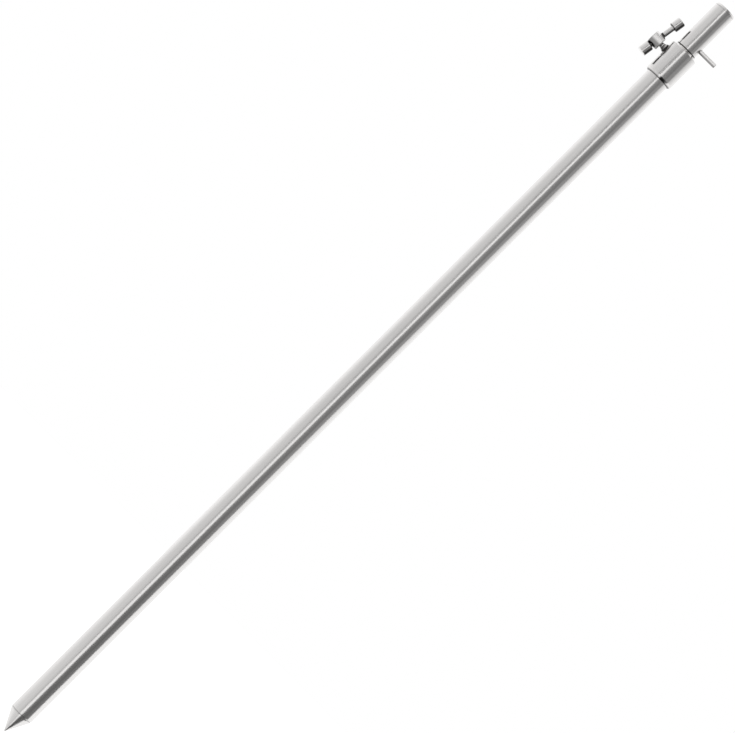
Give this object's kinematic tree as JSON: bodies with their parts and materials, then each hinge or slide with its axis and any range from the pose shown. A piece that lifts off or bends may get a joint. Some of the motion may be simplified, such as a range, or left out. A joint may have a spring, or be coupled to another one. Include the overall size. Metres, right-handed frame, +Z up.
{
  "type": "bank stick",
  "caption": "Telescopic steel bank stick with a pointed foot, a chamfered collar with a sliding T-bar clamp screw, a stop pin and a threaded head socket.",
  "frame": {"origin": "tip of the ground spike, on the stick's axis", "axes": "+Z runs up the stick from the spike to the threaded head; the clamp screw points along -X and the stop pin along +X"},
  "size_m": [0.0415, 0.0194, 0.6234],
  "materials": {
    "tube_steel": "satin stainless steel tube, polished along its length",
    "turned_steel": "stainless steel, turned and lightly polished",
    "brass": "plain turned brass",
    "acetal": "natural white acetal"
  },
  "bodies": {
    "outer_stick": {"ground_spike": "turned_steel", "outer_tube": "tube_steel", "lock_collar": "turned_steel"},
    "guide": {"guide_ring": "acetal"},
    "inner_stick": {"inner_tube": "tube_steel", "head_plug": "turned_steel", "head_pin": "turned_steel", "slide_spool": "turned_steel"},
    "clamp_pad": {"lock_pad": "brass"},
    "clamp_screw": {"lock_screw": "turned_steel"},
    "t_bar": {"tommy_bar": "turned_steel", "bar_cap_lower": "turned_steel", "bar_cap_upper": "turned_steel"}
  },
  "joints": [
    {"name": "inner_slide", "type": "slide", "parent": "outer_stick", "child": "guide", "axis": [0, 0, 1], "range_m": [-0.0041, 0.501]},
    {"name": "inner_turn", "type": "hinge", "parent": "guide", "child": "inner_stick", "pos_m": [0, 0, 0.07], "axis": [0, 0, 1], "range_deg": [-115, 115]},
    {"name": "pad_press", "type": "slide", "parent": "outer_stick", "child": "clamp_pad", "axis": [-1, 0, 0], "range_m": [0, 0.00151]},
    {"name": "lock_turn", "type": "hinge", "parent": "clamp_pad", "child": "clamp_screw", "pos_m": [-0.01, 0, 0.58041], "axis": [-1, 0, 0], "range_deg": [0, 540]},
    {"name": "bar_slide", "type": "slide", "parent": "clamp_screw", "child": "t_bar", "axis": [-0.1483, -0.0518, -0.9876], "range_m": [0, 0.00732]}
  ],
  "couplings": [
    {"joint": "pad_press", "follows": "lock_turn", "m_per_rad": 0.00015915}
  ]
}
